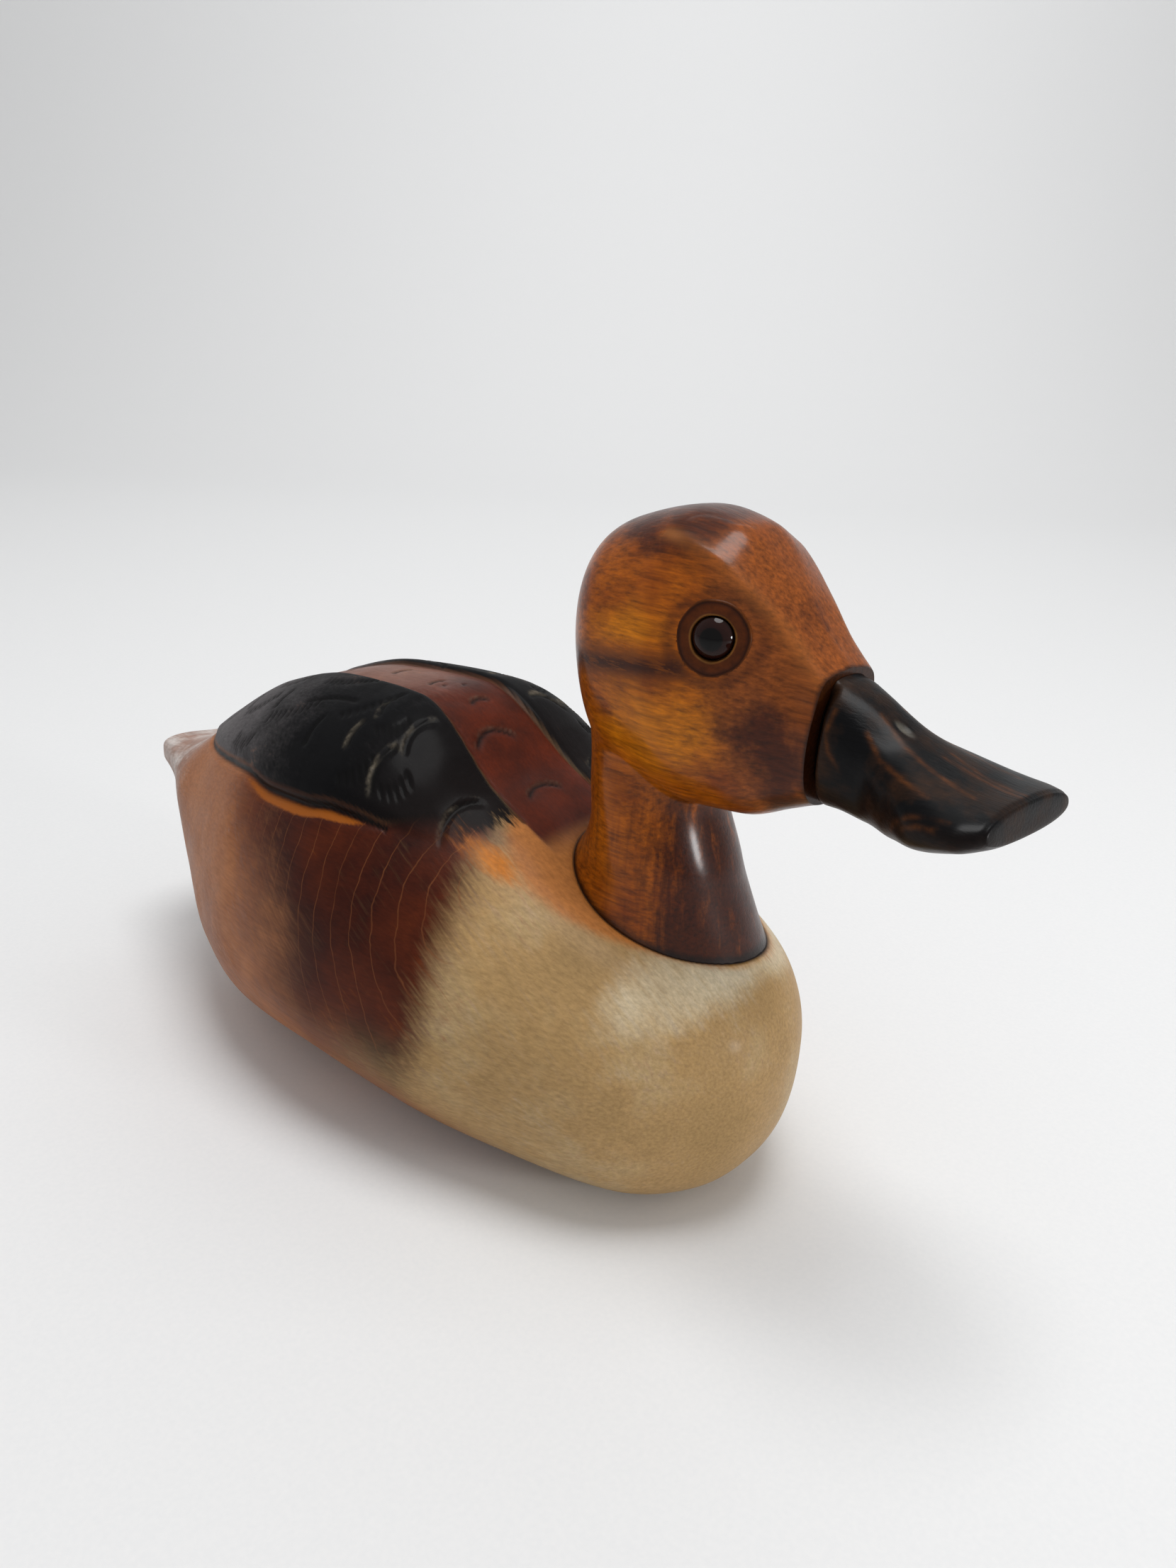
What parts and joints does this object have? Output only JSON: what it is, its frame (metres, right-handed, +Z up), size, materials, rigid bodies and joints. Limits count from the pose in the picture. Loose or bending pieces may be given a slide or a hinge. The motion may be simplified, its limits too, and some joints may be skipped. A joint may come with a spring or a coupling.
{
  "type": "floating duck decoy",
  "caption": "Hollow carved wooden duck decoy with a set-on head, glass eyes, an inlet ballast weight and a folding ring under the breast for the anchor line.",
  "frame": {"origin": "on the resting plane, under the middle of the body", "axes": "+X towards the bill, +Y towards the duck's left, +Z up"},
  "size_m": [0.2684, 0.1146, 0.1607],
  "materials": {
    "stained_body": "stained and carved, satin clear coat",
    "stained_head": "amber stained, glossy clear coat",
    "dark_bill": "black over brown stain, rubbed through",
    "brown_glass": "polished",
    "eye_putty": "stained putty",
    "board_wood": "sealed, worn flat",
    "gasket": "matt",
    "lead": "dull cast lead",
    "brass": "aged",
    "steel": "zinc plated",
    "dowel_wood": "plain"
  },
  "bodies": {
    "decoy": {"body_shell": "stained_body", "bottom_board": "board_wood", "board_gasket": "gasket", "bottom_board_screws": "brass", "ballast_weight": "lead", "ballast_screws": "brass", "head": "stained_head", "bill": "dark_bill", "bill_dowel": "dowel_wood", "neck_dowel": "dowel_wood", "neck_screw": "steel", "neck_washer": "steel", "left_eye": "brown_glass", "right_eye": "brown_glass", "left_eye_putty": "eye_putty", "right_eye_putty": "eye_putty", "line_tie_plate": "brass", "line_tie_screws": "brass"},
    "line_ring": {"line_tie_ring": "brass"}
  },
  "joints": [
    {"name": "line_ring_fold", "type": "hinge", "parent": "decoy", "child": "line_ring", "pos_m": [0.062, 0, 0.0032], "axis": [0, -1, 0], "range_deg": [0, 130]}
  ]
}
